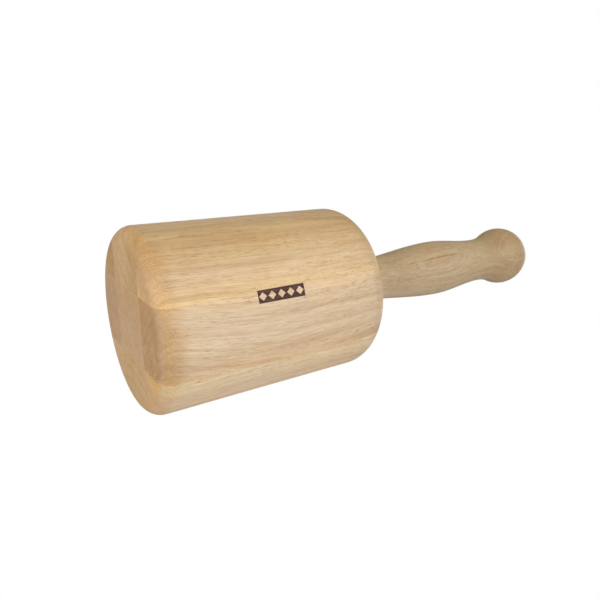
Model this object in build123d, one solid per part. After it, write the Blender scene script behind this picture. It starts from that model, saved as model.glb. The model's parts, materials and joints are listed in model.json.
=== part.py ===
from build123d import *

import os

# Round carver's mallet, turned from a blank of nine glued hardwood strips.
#
# The middle strip is long: inside the head it stays square, and past the head it is
# turned into the handle and its ball end.  The other eight strips are as long as the
# head and are glued around it, three rows of three.
#
# The mallet stands on the flat free end of its head with its handle up.  +Z runs up
# the turning axis, the glue joints are square to X and Y, and the origin is the
# centre of the free end.

# Head, mm
HEAD_LENGTH = 134.0
FREE_END_RADIUS = 50.0
SHOULDER_RADIUS = 46.0
FREE_END_ROUNDING = 8.0
SHOULDER_ROUNDING = 14.0

# Strips of the blank, mm: their width, and where the middle one has its centre
STRIP = 38.5
CORE_X = -0.1
CORE_Y = -0.3

# Handle, mm, with heights measured from the head's shoulder
ROOT_RADIUS = 12.0
ROOT_COVE = 1.5
SWELL_HEIGHT = 66.0
SWELL_RADIUS = 17.1
NECK_HEIGHT = 102.0
NECK_RADIUS = 13.75
NECK_COVE = 30.0
BALL_HEIGHT = 124.7
BALL_RADIUS = 18.7

# How far the cutting blocks and the handle's stub reach past what they meet, mm
MARGIN = 10.0


def soft_step(low, high):
    """S-curve of a profile between two (radius, height) points, upright at both."""
    third = (high[1] - low[1]) / 3
    return Bezier(low, (low[0], low[1] + third), (high[0], high[1] - third), high)


def turned(profile):
    """Solid of revolution about Z of a closed half profile drawn in radius and height."""
    face = make_face(Plane.XZ * profile)
    return revolve(face, axis=Axis.Z)


def turned_head():
    """The head as one body: a slight cone with both rims rounded."""
    base = (0, 0)
    free_end = (FREE_END_RADIUS, 0)
    shoulder = (SHOULDER_RADIUS, HEAD_LENGTH)
    top = (0, HEAD_LENGTH)
    outline = FilletPolyline(
        base,
        free_end,
        shoulder,
        top,
        radius=[FREE_END_ROUNDING, SHOULDER_ROUNDING],
    )
    return turned(outline + Line(top, base))


def turned_handle():
    """Everything past the shoulder, with a stub that fuses with the core in the head."""
    ball_centre = HEAD_LENGTH + BALL_HEIGHT
    tip = (0, ball_centre + BALL_RADIUS)
    stub = HEAD_LENGTH - MARGIN

    # The cove at the neck touches the ball on the line between their centres.
    cove_radius_out = NECK_RADIUS + NECK_COVE
    reach = NECK_COVE + BALL_RADIUS
    cove_height = ball_centre - (reach**2 - cove_radius_out**2) ** 0.5
    share = BALL_RADIUS / reach
    ball_start = (
        cove_radius_out * share,
        ball_centre + (cove_height - ball_centre) * share,
    )

    shoulder = (ROOT_RADIUS + ROOT_COVE, HEAD_LENGTH)
    root = (ROOT_RADIUS, HEAD_LENGTH + ROOT_COVE)
    swell = (SWELL_RADIUS, HEAD_LENGTH + SWELL_HEIGHT)
    neck = (NECK_RADIUS, HEAD_LENGTH + NECK_HEIGHT)
    cove_start = (NECK_RADIUS, cove_height)
    profile = Line((0, stub), (shoulder[0], stub))
    profile += Line((shoulder[0], stub), shoulder)
    profile += TangentArc(root, shoulder, tangent=(0, -1))
    profile += soft_step(root, swell)
    profile += soft_step(swell, neck)
    profile += Line(neck, cove_start)
    profile += TangentArc(cove_start, ball_start, tangent=(0, 1))
    profile += ThreePointArc(ball_start, (BALL_RADIUS, ball_centre), tip)
    profile += Line(tip, (0, stub))
    return turned(profile)


def joints_across(centre):
    """The four planes across X or Y that bound three strips, outermost included."""
    outer = FREE_END_RADIUS + MARGIN
    return [-outer, centre - STRIP / 2, centre + STRIP / 2, outer]


def cell(low_x, high_x, low_y, high_y):
    """Block over the head's whole height that holds one strip of the blank."""
    size = (high_x - low_x, high_y - low_y, HEAD_LENGTH + 2 * MARGIN)
    middle = ((low_x + high_x) / 2, (low_y + high_y) / 2, HEAD_LENGTH / 2)
    return Pos(*middle) * Box(*size)


def strips():
    """The nine strips of the head by name, cut from the turned body."""
    head = turned_head()
    x = joints_across(CORE_X)
    y = joints_across(CORE_Y)
    pieces = {}
    for i, side in enumerate(["_left", "", "_right"]):
        for j, face in enumerate(["_front", "", "_back"]):
            block = cell(x[i], x[i + 1], y[j], y[j + 1])
            pieces[f"head_strip{face}{side}"] = head & block
    return pieces


def make_nodes():
    """Named pieces: eight strips of the head, and the handle with its square core."""
    nodes = strips()
    core = nodes.pop("head_strip")
    nodes["handle_with_core"] = core + turned_handle()
    return nodes


os.makedirs("parts", exist_ok=True)
for name, piece in make_nodes().items():
    solid = piece.solid()
    solid.label = name
    export_step(solid, f"parts/{name}.step")
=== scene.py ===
import json
import math

import bmesh
import bpy
from mathutils import Matrix, Vector, noise


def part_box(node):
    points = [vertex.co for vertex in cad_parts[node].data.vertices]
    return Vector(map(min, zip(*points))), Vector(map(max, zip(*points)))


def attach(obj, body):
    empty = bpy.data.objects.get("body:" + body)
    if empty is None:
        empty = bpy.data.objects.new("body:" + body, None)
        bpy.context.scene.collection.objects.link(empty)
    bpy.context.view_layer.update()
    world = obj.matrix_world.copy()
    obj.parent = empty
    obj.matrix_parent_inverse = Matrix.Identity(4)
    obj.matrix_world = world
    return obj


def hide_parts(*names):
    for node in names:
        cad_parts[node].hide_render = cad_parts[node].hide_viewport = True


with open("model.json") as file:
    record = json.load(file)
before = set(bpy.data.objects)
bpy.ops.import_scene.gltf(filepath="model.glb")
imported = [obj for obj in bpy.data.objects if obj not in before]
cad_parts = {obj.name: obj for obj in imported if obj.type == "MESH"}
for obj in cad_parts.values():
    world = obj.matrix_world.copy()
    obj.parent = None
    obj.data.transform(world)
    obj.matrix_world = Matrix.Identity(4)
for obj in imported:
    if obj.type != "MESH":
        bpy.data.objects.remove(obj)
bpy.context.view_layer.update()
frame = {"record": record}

# ---------------------------------------------------------------- sizes, mm
MM = 0.001
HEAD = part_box("head_strip_front")[1].z / MM
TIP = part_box("handle_with_core")[1].z / MM
CORE_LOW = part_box("handle_with_core")[0] / MM
CORE_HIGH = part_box("handle_with_core")[1] / MM

FREE_END_RADIUS = 50.0
SHOULDER_RADIUS = 46.0
FREE_END_ROUNDING = 8.0
SHOULDER_ROUNDING = 14.0
ROOT_RADIUS = 12.0
ROOT_COVE = 1.5
# Widest and narrowest place of the grip: radius, height
SWELL = (17.1, HEAD + 66.0)
NECK = (13.75, HEAD + 102.0)
NECK_COVE = 30.0
BALL_RADIUS = 18.7
BALL_HEIGHT = TIP - BALL_RADIUS

# The burned mark on the front of the head: a band with a row of bare lozenges
MARK_ANGLE = math.radians(20.6)  # from -Y towards -X
MARK_HEIGHT = 65.2
MARK_LENGTH = 26.5
MARK_WIDTH = 6.4
MARK_DEPTH = 0.35
MARK_EDGE = 0.24  # width of its soft edge
LOZENGES = 5
LOZENGE_HALF_LENGTH = 2.3
LOZENGE_HALF_WIDTH = 2.25
LOZENGE_REACH = 1.5  # about how far its middle is from its edges

# Hand sanding: its mean depth, and its waves with finer ripples on them
SANDING_DEPTH = 0.06
WAVE_DEPTH = 0.05
WAVE_SIZE = 17.0
WAVE_HEIGHT_SCALE = 0.45  # below 1, so the waves run longer along the axis
RIPPLE_DEPTH = 0.02
RIPPLES_PER_WAVE = 3.1
RIPPLE_SHIFT = Vector((7, 3, 1))
UNSANDED_RADIUS = 1.0  # round the tip; the flat free end is unsanded too

# Grid of the turned surface: spacing of its rows, and angle between its columns
TURN_STEP = math.radians(2.0)
END_STEP = 5.0
RIM_STEP = 0.8
SIDE_STEP = 2.5
SHOULDER_STEP = 1.0
ROOT_STEP = 0.3
GRIP_STEP = 1.5
NECK_STEP = 0.5
BALL_STEP = 1.0
MARK_STEP = 0.22
MARK_MARGIN = 1.0

CUT_TOLERANCE = 1e-7
SHARP_ANGLE = math.radians(35)


# ---------------------------------------------------------------- turned shape
def steps_for(length, spacing):
    return max(2, math.ceil(length / spacing))


def straight(start, end, spacing):
    """Points of a straight stretch of the profile, without its first point."""
    count = steps_for(math.dist(start, end), spacing)
    return [tuple(a + (b - a) * i / count for a, b in zip(start, end)) for i in range(1, count + 1)]


def arc(centre, radius, start, end, spacing):
    """Points of an arc of the profile, angles from the radial direction, first point left out."""
    count = steps_for(abs(end - start) * radius, spacing)
    points = []
    for i in range(1, count + 1):
        angle = start + (end - start) * i / count
        points.append((centre[0] + radius * math.cos(angle), centre[1] + radius * math.sin(angle)))
    return points


def soft_step(start, end, spacing):
    """Points of an S-curve between two (radius, height) points, upright at both ends."""
    count = steps_for(math.dist(start, end), spacing)
    points = []
    for i in range(1, count + 1):
        t = i / count
        ease = t * t * (3 - 2 * t)
        points.append((start[0] + (end[0] - start[0]) * ease, start[1] + (end[1] - start[1]) * t))
    return points


def head_profile():
    """(radius, height) points of the head, from the free end's centre to the shoulder face."""
    quarter = math.pi / 2
    taper = math.atan((FREE_END_RADIUS - SHOULDER_RADIUS) / HEAD)

    def rounding_centre(radius, height):
        return FREE_END_RADIUS - height * math.tan(taper) - radius / math.cos(taper)

    low = (rounding_centre(FREE_END_ROUNDING, FREE_END_ROUNDING), FREE_END_ROUNDING)
    high_z = HEAD - SHOULDER_ROUNDING
    high = (rounding_centre(SHOULDER_ROUNDING, high_z), high_z)

    points = [(0.0, 0.0)]
    points += straight((0.0, 0.0), (low[0], 0.0), END_STEP)
    points += arc(low, FREE_END_ROUNDING, -quarter, taper, RIM_STEP)
    side_start = points[-1]
    side_end = (
        high[0] + SHOULDER_ROUNDING * math.cos(taper),
        high[1] + SHOULDER_ROUNDING * math.sin(taper),
    )

    def on_side(height):
        share = (height - side_start[1]) / (side_end[1] - side_start[1])
        return (side_start[0] + (side_end[0] - side_start[0]) * share, height)

    mark_low = on_side(MARK_HEIGHT - MARK_LENGTH / 2 - MARK_MARGIN)
    mark_high = on_side(MARK_HEIGHT + MARK_LENGTH / 2 + MARK_MARGIN)
    points += straight(side_start, mark_low, SIDE_STEP)
    points += straight(mark_low, mark_high, MARK_STEP)
    points += straight(mark_high, side_end, SIDE_STEP)
    points += arc(high, SHOULDER_ROUNDING, taper, quarter, SHOULDER_STEP)
    return points + straight(points[-1], (ROOT_RADIUS + ROOT_COVE, HEAD), SIDE_STEP)


def handle_profile():
    """(radius, height) points of the handle, from its root cove to the tip of the ball."""
    quarter = math.pi / 2
    root_cove = (ROOT_RADIUS + ROOT_COVE, HEAD + ROOT_COVE)
    points = arc(root_cove, ROOT_COVE, -quarter, -2 * quarter, ROOT_STEP)
    points += soft_step(points[-1], SWELL, GRIP_STEP)
    points += soft_step(SWELL, NECK, GRIP_STEP)

    # The neck's cove touches the ball where their centres' line crosses both
    reach = NECK_COVE + BALL_RADIUS
    neck_out = NECK[0] + NECK_COVE
    drop = math.sqrt(reach**2 - neck_out**2)
    neck_cove = (neck_out, BALL_HEIGHT - drop)
    touch = math.atan2(drop, -neck_out)
    points += straight(NECK, (NECK[0], neck_cove[1]), GRIP_STEP)
    points += arc(neck_cove, NECK_COVE, math.pi, touch, NECK_STEP)
    points += arc((0.0, BALL_HEIGHT), BALL_RADIUS, touch - math.pi, quarter, BALL_STEP)
    return points


def turn_angles():
    """Angles round the axis, closer together over the burned mark."""
    half = (MARK_WIDTH / 2 + MARK_MARGIN) / FREE_END_RADIUS
    start, end = MARK_ANGLE - half, MARK_ANGLE + half
    fine_count = steps_for(end - start, MARK_STEP / FREE_END_RADIUS)
    coarse_span = 2 * math.pi - (end - start)
    coarse_count = steps_for(coarse_span, TURN_STEP)
    angles = [start + (end - start) * i / fine_count for i in range(fine_count)]
    angles += [end + coarse_span * i / coarse_count for i in range(coarse_count)]
    return angles


def mark_share(angle, radius, height):
    """1 inside the burned mark, 0 outside and on its bare lozenges."""
    along = height - MARK_HEIGHT
    across = (angle - MARK_ANGLE) * radius
    if abs(along) > MARK_LENGTH or abs(across) > MARK_WIDTH:
        return 0.0
    band = min(MARK_WIDTH / 2 - abs(across), MARK_LENGTH / 2 - abs(along))
    pitch = MARK_LENGTH / LOZENGES
    last = LOZENGES // 2
    nearest = min(last, max(-last, round(along / pitch))) * pitch
    from_middle = abs(along - nearest) / LOZENGE_HALF_LENGTH + abs(across) / LOZENGE_HALF_WIDTH
    lozenge = (1 - from_middle) * LOZENGE_REACH
    inside = min(band, -lozenge)
    return min(1.0, max(0.0, 0.5 + inside / MARK_EDGE))


def sanded_off(x, y, z):
    """How far hand sanding has gone below the turned surface, mm, never above it."""
    place = Vector((x, y, z * WAVE_HEIGHT_SCALE)) / WAVE_SIZE
    waves = WAVE_DEPTH * noise.noise(place)
    ripples = RIPPLE_DEPTH * noise.noise(place * RIPPLES_PER_WAVE + RIPPLE_SHIFT)
    return max(0.0, SANDING_DEPTH + waves + ripples)


def turned_body():
    """The whole mallet as one closed skin, with the mark pressed into it."""
    body = bmesh.new()
    burn = body.verts.layers.float.new("burn")
    angles = turn_angles()
    rows = head_profile() + handle_profile()
    rings = []
    for radius, height in rows[1:-1]:
        ring = []
        for angle in angles:
            outward = (-math.sin(angle), -math.cos(angle))
            share = 0.0
            if FREE_END_ROUNDING < height < HEAD - SHOULDER_ROUNDING:
                share = mark_share(angle, radius, height)
            moved = radius - MARK_DEPTH * share
            if height > 0 and radius > UNSANDED_RADIUS:
                moved -= sanded_off(outward[0] * radius, outward[1] * radius, height)
            vertex = body.verts.new((outward[0] * moved * MM, outward[1] * moved * MM, height * MM))
            vertex[burn] = share
            ring.append(vertex)
        rings.append(ring)
    bottom = body.verts.new((0, 0, 0))
    top = body.verts.new((0, 0, TIP * MM))
    count = len(angles)
    for low, high in zip(rings, rings[1:]):
        for i in range(count):
            j = (i + 1) % count
            body.faces.new((low[j], low[i], high[i], high[j]))
    for i in range(count):
        j = (i + 1) % count
        body.faces.new((bottom, rings[0][i], rings[0][j]))
        body.faces.new((top, rings[-1][j], rings[-1][i]))
    bmesh.ops.recalc_face_normals(body, faces=body.faces)
    return body


def cut_flat(body, axis, at, keep_above):
    """Cuts the body at a joint plane, keeps one side and closes it."""
    normal = Vector((0, 0, 0))
    normal[axis] = -1 if keep_above else 1
    point = Vector((0, 0, 0))
    point[axis] = at * MM
    everything = [*body.verts, *body.edges, *body.faces]
    found = bmesh.ops.bisect_plane(
        body, geom=everything, dist=CUT_TOLERANCE, plane_co=point, plane_no=normal, clear_outer=True
    )
    rim = [e for e in found["geom_cut"] if isinstance(e, bmesh.types.BMEdge) and e.is_boundary]
    bmesh.ops.edgeloop_fill(body, edges=rim)


def strip_piece(name, body, x_range, y_range):
    """One strip of the blank as its own closed mesh object."""
    piece = body.copy()
    for axis, bounds in ((0, x_range), (1, y_range)):
        low, high = bounds
        if low is not None:
            cut_flat(piece, axis, low, True)
        if high is not None:
            cut_flat(piece, axis, high, False)
    caps = [f for f in piece.faces if len(f.verts) > 4]
    bmesh.ops.triangulate(piece, faces=caps, ngon_method="BEAUTY")
    bmesh.ops.recalc_face_normals(piece, faces=piece.faces)
    mesh = bpy.data.meshes.new(name)
    piece.to_mesh(mesh)
    piece.free()
    mesh.shade_smooth()
    mesh.set_sharp_from_angle(angle=SHARP_ANGLE)
    made = bpy.data.objects.new(name, mesh)
    bpy.context.scene.collection.objects.link(made)
    return made


# ---------------------------------------------------------------- shader helpers
class Shader:
    """Short names for the nodes that the wood is made of."""

    def __init__(self, name):
        self.material = bpy.data.materials.new(name)
        self.material.use_nodes = True
        self.tree = self.material.node_tree
        self.tree.nodes.clear()

    def node(self, kind, **settings):
        made = self.tree.nodes.new(kind)
        for key, value in settings.items():
            setattr(made, key, value)
        return made

    def feed(self, socket, value):
        if isinstance(value, bpy.types.NodeSocket):
            self.tree.links.new(value, socket)
        else:
            socket.default_value = value

    def math(self, operation, a, b=0.0, c=0.0, clamp=False):
        made = self.node("ShaderNodeMath", operation=operation, use_clamp=clamp)
        for socket, value in zip(made.inputs, (a, b, c)):
            self.feed(socket, value)
        return made.outputs[0]

    def vector(self, operation, a, b):
        made = self.node("ShaderNodeVectorMath", operation=operation)
        self.feed(made.inputs[0], a)
        self.feed(made.inputs[1], b)
        return made.outputs["Value" if operation in ("LENGTH", "DOT_PRODUCT") else "Vector"]

    def split(self, vector):
        made = self.node("ShaderNodeSeparateXYZ")
        self.feed(made.inputs[0], vector)
        return made.outputs

    def join(self, x, y, z):
        made = self.node("ShaderNodeCombineXYZ")
        for socket, value in zip(made.inputs, (x, y, z)):
            self.feed(socket, value)
        return made.outputs[0]

    def noise(self, place, detail=2.0, roughness=0.5, distortion=0.0):
        made = self.node("ShaderNodeTexNoise")
        self.feed(made.inputs["Vector"], place)
        made.inputs["Scale"].default_value = 1.0
        made.inputs["Detail"].default_value = detail
        made.inputs["Roughness"].default_value = roughness
        made.inputs["Distortion"].default_value = distortion
        return made.outputs["Fac"]

    def ramp(self, value, stops):
        made = self.node("ShaderNodeValToRGB")
        self.feed(made.inputs[0], value)
        elements = made.color_ramp.elements
        while len(elements) < len(stops):
            elements.new(1.0)
        for element, (position, colour) in zip(elements, stops):
            element.position = position
            element.color = (*colour, 1.0) if len(colour) == 3 else colour
        return made.outputs["Color"]

    def range(self, value, low, high, to_low=0.0, to_high=1.0, smooth=True):
        """Spreads the values between low and high over to_low to to_high, and clamps the rest."""
        made = self.node("ShaderNodeMapRange")
        made.interpolation_type = "SMOOTHSTEP" if smooth else "LINEAR"
        self.feed(made.inputs["Value"], value)
        made.inputs["From Min"].default_value = low
        made.inputs["From Max"].default_value = high
        made.inputs["To Min"].default_value = to_low
        made.inputs["To Max"].default_value = to_high
        return made.outputs["Result"]

    def mix(self, share, a, b, blend="MIX"):
        made = self.node("ShaderNodeMix", data_type="RGBA", blend_type=blend)
        self.feed(made.inputs["Factor"], share)
        colours = [s for s in made.inputs if s.type == "RGBA"]
        for socket, value in zip(colours, (a, b)):
            plain = isinstance(value, tuple) and len(value) == 3
            self.feed(socket, (*value, 1.0) if plain else value)
        return [s for s in made.outputs if s.type == "RGBA"][0]

    def tint(self, share, colour, tint):
        """Multiplies the colour by the tint, as far as the share says."""
        return self.mix(share, colour, tint, "MULTIPLY")


# ---------------------------------------------------------------- wood
# Colours are linear, and a tint multiplies the colour under it. Lengths are in mm.
SEED_STEPS = (37.0, 53.0, 91.0)
FAR_AWAY = (400.0, 100.0, 700.0)
BLACK, WHITE = (0.0, 0.0, 0.0), (1.0, 1.0, 1.0)

# Fibres: how far and over what lengths they wander, and where their bow is measured from
DRIFT = 6.5
DRIFT_SCALE = (1 / 30, 1 / 30, 1 / 130)
BOW_MIDDLE = 70.0
BOW_REACH = 60.0

# Growth rings: how much their widths differ, and how dark they get through the year
RING_UNEVENNESS = 1.6
LATE_WOOD = [(0.0, BLACK), (0.5, (0.15,) * 3), (0.88, WHITE), (0.96, (0.3,) * 3), (1.0, BLACK)]
LINE_SPACING = 0.72
LINE_LENGTH = 75.0

# Patterns along the fibres: size across them, size along them, detail and sometimes roughness
CALM = (9.0, 60.0, 2.0)
BANDS = (3.6, 130.0, 1.0)
STREAKS = (0.75, 48.0, 3.0)
FIBRES = (0.34, 9.0, 2.0)
PORES = (0.29, 4.6, 1.0, 0.5)
PORE_GROUPS = (5.0, 55.0, 2.0)
CRACKS = (0.8, 6.0, 2.0)

# Patterns that pay no heed to the fibres: scale in x, y and z, detail and roughness
MOTTLE = ((1 / 22, 1 / 22, 1 / 48), 3.0, 0.55)
CLOUDS = ((1 / 5, 1 / 5, 1 / 14), 3.0, 0.6)

# Colours and tints that all strips share
DEEP_TONE = (0.76, 0.685, 0.605)
STREAK_DEPTH = 0.36
FIBRE_DEPTH = 0.34
PALE_BAND = (1.02, 1.03, 1.03)
DARK_BAND = (0.975, 0.955, 0.945)
WARM = (1.03, 0.985, 0.91)
ROSY = (1.0, 0.965, 0.955)
PORE = (0.60, 0.50, 0.42)
SPLIT_EDGE = (1.08, 0.90, 0.66)
SPLIT_COLOUR = (0.19, 0.105, 0.048)
CHAR_DARK = (0.035, 0.017, 0.014)
CHAR_BROWN = (0.105, 0.050, 0.038)

# How far the edges of zones, rims and patches wander
ZONE_WANDER = 5.0
RIM_WANDER = 5.0
PATCH_WANDER = 6.0

# The open pore line: how far from its middle the line, its warm edge and its worst part have faded
# out, and how far they are still full
SPLIT_WANDER = 0.05
SPLIT_LINE = (0.65, 0.2)
SPLIT_HALO = (2.0, 0.3)
SPLIT_WORST = (7.0, 1.0)

BUMP_STRENGTH = 0.6
BUMP_DISTANCE = 0.00008
SPECULAR = 0.2


class Grain:
    """The grain of one strip: the patterns that its fibres and growth rings make.

    pith: place of the tree's centre in mm; ring: width of a growth ring in mm
    bow: (x, y) bend of the fibres in mm, 60 mm up or down from near the middle of the head
    """

    def __init__(self, s, place, pith, ring, bow, seed):
        self.s = s
        self.shift = tuple(seed * step for step in SEED_STEPS)
        self.offset = s.vector("ADD", place, self.shift)
        x, y, self.z = s.split(place)

        # The fibres wander slowly and bow towards both ends
        self.drift = self.wander(self.offset)
        other_drift = self.wander(s.vector("ADD", self.offset, FAR_AWAY))
        away = s.math("MULTIPLY_ADD", self.z, 1 / BOW_REACH, -BOW_MIDDLE / BOW_REACH)
        bend = s.math("MULTIPLY", away, away)
        self.x = s.math("MULTIPLY_ADD", bend, bow[0], s.math("MULTIPLY_ADD", self.drift, DRIFT, x))
        self.y = s.math("MULTIPLY_ADD", bend, bow[1], s.math("MULTIPLY_ADD", other_drift, DRIFT, y))

        self.add_rings(pith, ring, seed)
        self.streak = self.along_fibres(*STREAKS)
        self.fibre = self.along_fibres(*FIBRES)
        pores = s.range(self.along_fibres(*PORES), 0.58, 0.67)
        gathered = s.range(self.along_fibres(*PORE_GROUPS), 0.35, 0.65, 0.25, 1.0)
        self.pores = s.math("MULTIPLY", pores, gathered)
        self.mottle = self.cloudy(*MOTTLE)
        self.clouds = self.cloudy(*CLOUDS)

    def wander(self, place):
        """Slow noise about zero."""
        s = self.s
        return s.math("SUBTRACT", s.noise(s.vector("MULTIPLY", place, DRIFT_SCALE), 2.0), 0.5)

    def along_fibres(self, across, along, detail, roughness=0.6):
        """Noise of the given size across and along the fibres."""
        s = self.s
        run = s.vector("ADD", s.join(self.x, self.y, self.z), self.shift)
        scale = (1 / across, 1 / across, 1 / along)
        return s.noise(s.vector("MULTIPLY", run, scale), detail, roughness)

    def cloudy(self, scale, detail, roughness):
        """Noise that pays no heed to the fibres."""
        return self.s.noise(self.s.vector("MULTIPLY", self.offset, scale), detail, roughness)

    def add_rings(self, pith, ring, seed):
        """Growth rings about the pith, some wider and stronger than others, and lines along them."""
        s = self.s
        across = s.join(
            s.math("SUBTRACT", self.x, pith[0]), s.math("SUBTRACT", self.y, pith[1]), 0.0)
        from_pith = s.vector("LENGTH", across, (0, 0, 0))
        years = s.math("DIVIDE", from_pith, ring)
        unequal = s.noise(s.join(s.math("MULTIPLY", years, 0.7), seed, 0.0), 1.0)
        phase = s.math("FRACT", s.math("MULTIPLY_ADD", unequal, RING_UNEVENNESS, years))
        strength = s.range(unequal, 0.3, 0.65, 0.35, 1.0)
        self.late = s.math("MULTIPLY", s.ramp(phase, LATE_WOOD), strength)
        lines_at = s.join(
            s.math("DIVIDE", from_pith, LINE_SPACING),
            s.math("MULTIPLY_ADD", s.math("ADD", self.x, self.y), 0.06, seed * 17.0),
            s.math("DIVIDE", self.z, LINE_LENGTH))
        self.lines = s.noise(lines_at, 4.0, 0.68)


def figured(s, grain, tone, late_share):
    """The palest tone, deepened by late wood, lines, streaks and fibres."""
    calm = s.range(grain.along_fibres(*CALM), 0.36, 0.62, 0.25, 0.60)
    depth = s.math("MULTIPLY", grain.late, late_share)
    depth = s.math("MULTIPLY_ADD", s.range(grain.lines, 0.34, 0.68), calm, depth)
    depth = s.math("MULTIPLY_ADD", s.range(grain.streak, 0.34, 0.70), STREAK_DEPTH, depth)
    depth = s.math("MULTIPLY_ADD", s.range(grain.fibre, 0.38, 0.66), FIBRE_DEPTH, depth, clamp=True)
    return s.mix(depth, tone, tuple(a * b for a, b in zip(tone, DEEP_TONE)))


def zoned(s, colour, grain, place, zones):
    """Slow changes of colour across and along the strip."""
    for direction, stops in zones:
        low, high = stops[0][0], stops[-1][0]
        across = s.vector("DOT_PRODUCT", place, direction)
        across = s.math("MULTIPLY_ADD", grain.drift, ZONE_WANDER, across)
        share = s.range(across, low, high, smooth=False)
        tints = s.ramp(share, [((at - low) / (high - low), tint) for at, tint in stops])
        colour = s.tint(1.0, colour, tints)
    return colour


def clouded(s, colour, grain, pore_share):
    """Pale and dark bands, warm and rosy clouds, and open pores."""
    bands = s.range(grain.along_fibres(*BANDS), 0.30, 0.70)
    colour = s.mix(bands, s.tint(1.0, colour, PALE_BAND), s.tint(1.0, colour, DARK_BAND))
    colour = s.tint(s.range(grain.mottle, 0.32, 0.68, 0.0, 0.75), colour, WARM)
    colour = s.tint(s.range(grain.clouds, 0.38, 0.66, 0.0, 0.65), colour, ROSY)
    return s.tint(s.math("MULTIPLY", grain.pores, pore_share), colour, PORE)


def rim_and_end(s, coords, grain, rim_reach):
    """Shares of the rounded rims and of the flat end grain, which get tints of their own."""
    facing = s.math("ABSOLUTE", s.split(coords.outputs["Normal"])[2])
    end = s.range(facing, 0.70, 1.0)
    height = s.math("MULTIPLY_ADD", s.math("SUBTRACT", grain.clouds, 0.5), RIM_WANDER, grain.z)
    free_rim = s.math("MULTIPLY", s.range(height, rim_reach, 2.5), s.math("SUBTRACT", 1.0, end))
    upper_half = s.range(grain.z, 60.0, 80.0)
    upper_rim = s.math("MULTIPLY", s.range(facing, 0.15, 0.75, 0.0, 0.4), upper_half)
    return s.math("MAXIMUM", free_rim, upper_rim), end


def patched(s, colour, grain, place, centre, radius, tint):
    """A patch of another colour, soft and uneven at its edge."""
    distance = s.vector("LENGTH", s.vector("SUBTRACT", place, centre), (0, 0, 0))
    distance = s.math("MULTIPLY_ADD", s.math("SUBTRACT", grain.clouds, 0.5), PATCH_WANDER, distance)
    return s.tint(s.range(distance, radius, 0.3 * radius), colour, tint)


def split_open(s, colour, grain, place, low, high, worst_z):
    """The colour with an open pore line on the handle, and the line's share."""
    x, y, z = s.split(place)
    angle = s.math("ARCTAN2", s.math("MULTIPLY", x, -1.0), s.math("MULTIPLY", y, -1.0))
    slope = (high[0] - low[0]) / (high[1] - low[1])
    off = s.math("SUBTRACT", angle, s.math("MULTIPLY_ADD", z, slope, low[0] - slope * low[1]))
    off = s.math("MULTIPLY_ADD", s.math("SUBTRACT", grain.streak, 0.5), SPLIT_WANDER, off)
    near = s.math("ABSOLUTE", s.math("MULTIPLY", off, NECK[0]))
    above = s.range(z, low[1] - 3, low[1] + 2)
    below = s.range(z, high[1] + 3, high[1] - 2)
    broken = s.range(grain.along_fibres(*CRACKS), 0.36, 0.56)
    line = s.math("MULTIPLY", s.math("MULTIPLY", above, below), broken)
    line = s.math("MULTIPLY", s.range(near, *SPLIT_LINE), line)
    worst = s.range(s.math("ABSOLUTE", s.math("SUBTRACT", z, worst_z)), *SPLIT_WORST)
    halo = s.math("MULTIPLY", s.range(near, *SPLIT_HALO), worst)
    colour = s.tint(s.math("MULTIPLY", halo, 0.6), colour, SPLIT_EDGE)
    return s.mix(s.math("MULTIPLY", line, 0.7), colour, SPLIT_COLOUR), line


def burned(s, colour, grain):
    """The colour with the char of the burned mark."""
    burn = s.node("ShaderNodeAttribute", attribute_name="burn").outputs["Fac"]
    char = s.mix(s.range(grain.fibre, 0.34, 0.66), CHAR_DARK, CHAR_BROWN)
    return s.mix(s.range(burn, 0.05, 0.6), colour, char)


def relief(s, grain, opened):
    """Normals of the fibres, lines and open pores, which sink in."""
    height = s.math("MULTIPLY_ADD", opened, -1.0, s.math("MULTIPLY", grain.fibre, 0.5))
    height = s.math("MULTIPLY_ADD", grain.lines, 0.5, height)
    height = s.math("MULTIPLY_ADD", grain.clouds, 0.8, height)
    bump = s.node("ShaderNodeBump")
    bump.inputs["Strength"].default_value = BUMP_STRENGTH
    bump.inputs["Distance"].default_value = BUMP_DISTANCE
    s.feed(bump.inputs["Height"], height)
    return bump.outputs["Normal"]


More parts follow.
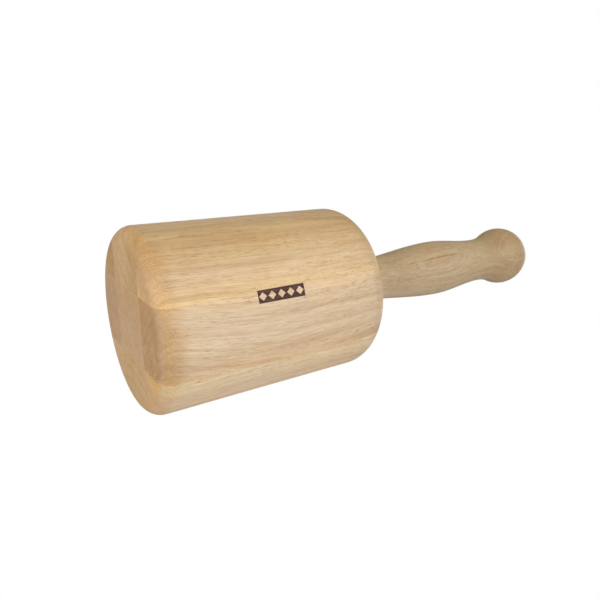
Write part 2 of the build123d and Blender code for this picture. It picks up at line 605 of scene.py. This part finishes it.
def wood(name, tone, zones, pith, ring, bow, seed, rim_tone, end_tone,
         rim_reach=10.0, late_share=0.30, pore_share=0.75, patch=None, split=None):
    """Bare sanded hardwood whose grain runs along Z.

    tone: colour of the palest wood; pith, ring and bow: see Grain
    zones: (direction, [(place in mm, tint), ...]) for each slow change of colour
    rim_tone, end_tone: tints of the rounded rims and of the flat end grain
    rim_reach: height in mm at which the tint of the free rim has faded out
    late_share, pore_share: strength of the growth rings and of the pores
    patch: (centre in mm, radius in mm, tint) of a patch of another colour
    split: ((low angle, z), (high angle, z), z of its worst part) of an open pore line
    """
    s = Shader(name)
    coords = s.node("ShaderNodeTexCoord")
    place = s.vector("MULTIPLY", coords.outputs["Object"], (1 / MM,) * 3)
    grain = Grain(s, place, pith, ring, bow, seed)

    colour = figured(s, grain, tone, late_share)
    colour = zoned(s, colour, grain, place, zones)
    colour = clouded(s, colour, grain, pore_share)
    rim, end = rim_and_end(s, coords, grain, rim_reach)
    colour = s.tint(rim, colour, rim_tone)
    colour = s.tint(end, colour, end_tone)
    if patch:
        colour = patched(s, colour, grain, place, *patch)
    opened = grain.pores
    if split:
        colour, line = split_open(s, colour, grain, place, *split)
        opened = s.math("MAXIMUM", opened, line)
    colour = burned(s, colour, grain)

    rough = s.range(grain.streak, 0.2, 0.8, 0.50, 0.64)
    rough = s.math("MULTIPLY_ADD", rim, -0.06, rough)
    rough = s.math("MULTIPLY_ADD", opened, 0.12, rough)
    rough = s.math("MULTIPLY_ADD", end, 0.14, rough, clamp=True)

    shader = s.node("ShaderNodeBsdfPrincipled")
    s.feed(shader.inputs["Base Color"], colour)
    s.feed(shader.inputs["Roughness"], rough)
    s.feed(shader.inputs["Normal"], relief(s, grain, opened))
    shader.inputs["Specular IOR Level"].default_value = SPECULAR
    out = s.node("ShaderNodeOutputMaterial")
    s.feed(out.inputs["Surface"], shader.outputs["BSDF"])
    return s.material


# ---------------------------------------------------------------- strips
# Each strip's node, and its cell in x and y between the joint planes
X_LOW, X_HIGH = CORE_LOW.x, CORE_HIGH.x
Y_LOW, Y_HIGH = CORE_LOW.y, CORE_HIGH.y
CELLS = {
    "head_strip_front_left": ((None, X_LOW), (None, Y_LOW)),
    "head_strip_front": ((X_LOW, X_HIGH), (None, Y_LOW)),
    "head_strip_front_right": ((X_HIGH, None), (None, Y_LOW)),
    "head_strip_left": ((None, X_LOW), (Y_LOW, Y_HIGH)),
    "handle_with_core": ((X_LOW, X_HIGH), (Y_LOW, Y_HIGH)),
    "head_strip_right": ((X_HIGH, None), (Y_LOW, Y_HIGH)),
    "head_strip_back_left": ((None, X_LOW), (Y_HIGH, None)),
    "head_strip_back": ((X_LOW, X_HIGH), (Y_HIGH, None)),
    "head_strip_back_right": ((X_HIGH, None), (Y_HIGH, None)),
}

# Each strip's wood; the outer strips get a little darker towards the shoulder
SHOULDER_ZONE = ((0, 0, 1), [(92, WHITE), (126, (0.91, 0.905, 0.895))])
WOODS = {
    "head_strip_front_left": dict(
        tone=(0.77, 0.60, 0.37), pith=(-110, 60), ring=4.6, bow=(1.5, 0.0), seed=1.0,
        rim_reach=15.0, rim_tone=(0.89, 0.785, 0.66), end_tone=(0.89, 0.79, 0.71),
        patch=((-21.0, -20.0, 0.0), 10.0, (1.09, 1.12, 1.14)),
        zones=[
            ((1, 0, 0), [
                (-46, (0.82, 0.745, 0.62)), (-42, (0.84, 0.77, 0.67)), (-39, (0.86, 0.81, 0.73)),
                (-34.5, (0.86, 0.835, 0.81)), (-31, (0.90, 0.89, 0.93)), (-24, (0.94, 0.93, 0.95)),
                (-20.5, (0.98, 0.98, 0.93)), (-18, (1.0, 1.0, 0.90))]),
            SHOULDER_ZONE]),
    "head_strip_front": dict(
        tone=(0.77, 0.60, 0.43), pith=(-60, 30), ring=5.2, bow=(6.0, 0.0), seed=2.0,
        rim_reach=16.0, rim_tone=(0.74, 0.63, 0.47), end_tone=(0.73, 0.60, 0.47),
        zones=[
            ((1, 0, 0), [
                (-19.5, (0.98, 0.98, 0.92)), (-12.5, (0.92, 0.95, 0.94)), (-8, (0.89, 0.895, 0.87)),
                (-3, (0.92, 0.94, 0.94)), (1, (0.95, 0.98, 0.98)), (9, (0.95, 0.975, 0.96)),
                (13, (0.955, 0.95, 0.92)), (17, (1.0, 0.99, 0.92)), (19.5, (1.10, 1.10, 0.98))]),
            SHOULDER_ZONE]),
    "head_strip_front_right": dict(
        tone=(0.76, 0.61, 0.42), pith=(90, 20), ring=5.0, bow=(-3.0, 0.0), seed=3.0,
        rim_tone=(0.875, 0.815, 0.74), end_tone=(0.83, 0.715, 0.58),
        patch=((20.5, -32.0, 0.5), 9.0, (1.09, 1.04, 0.84)),
        zones=[
            ((1, 0, 0), [
                (19, (1.08, 1.10, 1.04)), (24, (1.06, 1.08, 1.06)), (31, (1.01, 1.0, 1.0)),
                (38, (1.08, 1.03, 0.99)), (48, (1.10, 1.03, 0.96))]),
            SHOULDER_ZONE]),
    "head_strip_left": dict(
        tone=(0.76, 0.60, 0.40), pith=(-90, -50), ring=5.0, bow=(0.0, 2.0), seed=4.0,
        rim_tone=(0.92, 0.81, 0.66), end_tone=(0.88, 0.83, 0.76),
        zones=[
            ((0, 1, 0), [
                (-20, (0.83, 0.76, 0.60)), (-12.5, (0.85, 0.80, 0.66)), (-8, (0.86, 0.81, 0.71)),
                (-3, (0.93, 0.885, 0.82)), (8, (0.94, 0.90, 0.86)), (20, (0.90, 0.86, 0.80))]),
            SHOULDER_ZONE]),
    "handle_with_core": dict(
        tone=(0.64, 0.51, 0.34), pith=(-46, -77), ring=3.6, bow=(0.5, 0.0), seed=5.0,
        late_share=0.15, pore_share=0.8, rim_tone=(1.0, 0.95, 0.88), end_tone=(0.93, 0.82, 0.74),
        split=((math.radians(36.9), 172.0), (math.radians(40.0), 209.0), 194.0),
        zones=[
            # Along the axis: the stop at 142 mm is painted light, which brightens the handle's root
            # against the shade of the cove under the head; the later stops darken the handle towards the
            # ball
            ((0, 0, 1), [
                (0, WHITE), (120, WHITE), (142, (1.01, 1.03, 1.05)), (165, (0.89, 0.89, 0.88)),
                (190, (0.85, 0.86, 0.87)), (232, (0.80, 0.81, 0.81)), (246, (0.70, 0.675, 0.62)),
                (277, (0.75, 0.71, 0.65))]),
            ((1, 0, 0), [
                (-18, (0.99, 0.96, 0.85)), (-12, (0.97, 0.95, 0.88)), (-7, (0.98, 0.975, 0.955)),
                (0, WHITE), (14, (1.0, 1.02, 1.03))])]),
    "head_strip_right": dict(
        tone=(0.74, 0.60, 0.41), pith=(100, 10), ring=6.0, bow=(0.0, 4.0), seed=6.0,
        rim_tone=(0.88, 0.80, 0.68), end_tone=(0.84, 0.745, 0.62),
        zones=[
            ((0, 1, 0), [(-20, (1.0, 0.97, 0.93)), (0, (0.96, 0.96, 0.96)), (20, (0.98, 0.95, 0.90))]),
            SHOULDER_ZONE]),
    "head_strip_back_left": dict(
        tone=(0.75, 0.58, 0.40), pith=(-60, 90), ring=5.5, bow=(2.0, 2.0), seed=7.0,
        rim_tone=(0.86, 0.76, 0.62), end_tone=(0.735, 0.655, 0.53),
        zones=[
            ((1, 0, 0), [(-46, (0.94, 0.91, 0.84)), (-30, (0.90, 0.88, 0.84)), (-19, (0.96, 0.95, 0.90))]),
            SHOULDER_ZONE]),
    "head_strip_back": dict(
        tone=(0.78, 0.62, 0.43), pith=(5, 120), ring=6.5, bow=(-7.0, 0.0), seed=8.0,
        rim_tone=(0.82, 0.73, 0.62), end_tone=(0.74, 0.65, 0.60),
        zones=[
            ((1, 0, 0), [(-19, (0.96, 0.96, 0.90)), (-5, (0.92, 0.92, 0.92)), (19, (0.97, 0.95, 0.92))]),
            SHOULDER_ZONE]),
    "head_strip_back_right": dict(
        tone=(0.76, 0.59, 0.40), pith=(70, 80), ring=5.0, bow=(-2.0, 0.0), seed=9.0,
        rim_tone=(0.88, 0.79, 0.68), end_tone=(0.867, 0.82, 0.76),
        zones=[
            ((1, 0, 0), [(19, (0.98, 0.98, 0.92)), (30, (0.93, 0.90, 0.86)), (48, (0.97, 0.93, 0.86))]),
            SHOULDER_ZONE]),
}
SLOTS = {row["node"]: row["material_slot"] for row in frame["record"]["subparts"]}


def make_mallet():
    body = turned_body()
    for node, (x_range, y_range) in CELLS.items():
        piece = strip_piece(node + "_turned", body, x_range, y_range)
        piece.data.materials.append(wood(SLOTS[node], **WOODS[node]))
        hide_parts(node)
        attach(piece, "root")
    body.free()


# ---------------------------------------------------------------- stage, metres
CAMERA_AT = Vector((-0.11896, -0.33817, -0.09325))
CAMERA_TARGET = Vector((-0.0100, -0.0408, 0.0779))
CAMERA_UP = Vector((-0.95297, 0.25445, 0.16463))
LENS = 42.0
SENSOR = 36.0

# Each lamp's name, place and power in watts
LAMP_SIZE = 0.9
LAMPS = (
    ("key", (-0.27, -1.25, 0.45), 10.0),
    ("under", (-0.25, -0.4, -1.0), 9.0),
    ("side", (-1.3, -0.3, 0.3), 3.5),
    ("fill_right", (1.3, 0.1, 0.5), 3.0),
    ("overhead", (0.2, 0.4, 1.5), 6.0),
    ("back", (0.3, 1.3, 0.6), 8.0),
)
WORLD_LIGHT = 0.40
BACKDROP_LIGHT = 1.0

# The floor: distances from the axis over which the painted contact shadow ends and the paper turns white
FLOOR_RADIUS = 6.0
FLOOR_GAP = 0.0002
PAINTED_SHADOW_REACH = (0.040, 0.078)
FADE = (0.25, 1.1)
SHADE_COLOUR = (0.40, 0.385, 0.37)
PAPER_COLOUR = (0.86, 0.86, 0.85)


def add_camera():
    data = bpy.data.cameras.new("camera")
    data.lens = LENS
    data.sensor_width = SENSOR
    data.clip_start = 0.01
    data.clip_end = 50.0
    camera = bpy.data.objects.new("camera", data)
    bpy.context.scene.collection.objects.link(camera)
    back = (CAMERA_AT - CAMERA_TARGET).normalized()
    right = CAMERA_UP.cross(back).normalized()
    up = back.cross(right)
    turn = Matrix((right, up, back)).transposed()
    camera.matrix_world = Matrix.Translation(CAMERA_AT) @ turn.to_4x4()
    bpy.context.scene.camera = camera


def add_lamp(name, at, power):
    """A round softbox that faces the middle of the mallet."""
    data = bpy.data.lights.new(name, "AREA")
    data.shape = "DISK"
    data.size = LAMP_SIZE
    data.energy = power
    lamp = bpy.data.objects.new(name, data)
    bpy.context.scene.collection.objects.link(lamp)
    centre = Vector((0, 0, TIP * MM / 2))
    lamp.location = at
    lamp.rotation_mode = "QUATERNION"
    lamp.rotation_quaternion = (Vector(at) - centre).to_track_quat("Z", "Y")


def add_world():
    """Even white light from all sides, in front of a white backdrop."""
    world = bpy.data.worlds.new("studio")
    bpy.context.scene.world = world
    world.use_nodes = True
    nodes = world.node_tree.nodes
    links = world.node_tree.links
    nodes.clear()
    path = nodes.new("ShaderNodeLightPath")
    mix = nodes.new("ShaderNodeMixShader")
    out = nodes.new("ShaderNodeOutputWorld")
    links.new(path.outputs["Is Camera Ray"], mix.inputs[0])
    for socket, strength in ((mix.inputs[1], WORLD_LIGHT), (mix.inputs[2], BACKDROP_LIGHT)):
        light = nodes.new("ShaderNodeBackground")
        light.inputs["Color"].default_value = (*WHITE, 1.0)
        light.inputs["Strength"].default_value = strength
        links.new(light.outputs[0], socket)
    links.new(mix.outputs[0], out.inputs["Surface"])


def floor_paper():
    """Pale paper with a painted contact shadow at the mallet's foot, that fades to white and shows only
    from above: the camera looks up at the head.
    """
    s = Shader("floor_paper")
    coords = s.node("ShaderNodeTexCoord")
    distance = s.vector("LENGTH", coords.outputs["Object"], (0, 0, 0))
    near = s.node("ShaderNodeBsdfDiffuse")
    # Painted contact shadow: close to the axis, where the mallet stands, the paper darkens to the shade
    # colour
    s.feed(near.inputs["Color"], s.mix(s.range(distance, *PAINTED_SHADOW_REACH), SHADE_COLOUR, PAPER_COLOUR))
    far = s.node("ShaderNodeEmission")
    paper = s.node("ShaderNodeMixShader")
    s.feed(paper.inputs[0], s.range(distance, *FADE))
    s.feed(paper.inputs[1], near.outputs[0])
    s.feed(paper.inputs[2], far.outputs[0])
    nothing = s.node("ShaderNodeBsdfTransparent")
    path = s.node("ShaderNodeLightPath")
    side = s.node("ShaderNodeNewGeometry")
    front = s.math("SUBTRACT", 1.0, side.outputs["Backfacing"])
    shown = s.node("ShaderNodeMixShader")
    s.feed(shown.inputs[0], s.math("MULTIPLY", front, path.outputs["Is Camera Ray"]))
    s.feed(shown.inputs[1], nothing.outputs[0])
    s.feed(shown.inputs[2], paper.outputs[0])
    out = s.node("ShaderNodeOutputMaterial")
    s.feed(out.inputs["Surface"], shown.outputs[0])
    return s.material


def add_floor():
    mesh = bpy.data.meshes.new("studio_floor")
    disc = bmesh.new()
    bmesh.ops.create_circle(disc, cap_ends=True, radius=FLOOR_RADIUS, segments=96)
    disc.to_mesh(mesh)
    disc.free()
    mesh.materials.append(floor_paper())
    floor = bpy.data.objects.new("studio_floor", mesh)
    bpy.context.scene.collection.objects.link(floor)
    floor.location.z = -FLOOR_GAP


bpy.context.scene.view_settings.view_transform = "Standard"
make_mallet()
add_camera()
add_world()
add_floor()
for lamp_name, lamp_at, lamp_power in LAMPS:
    add_lamp(lamp_name, lamp_at, lamp_power)
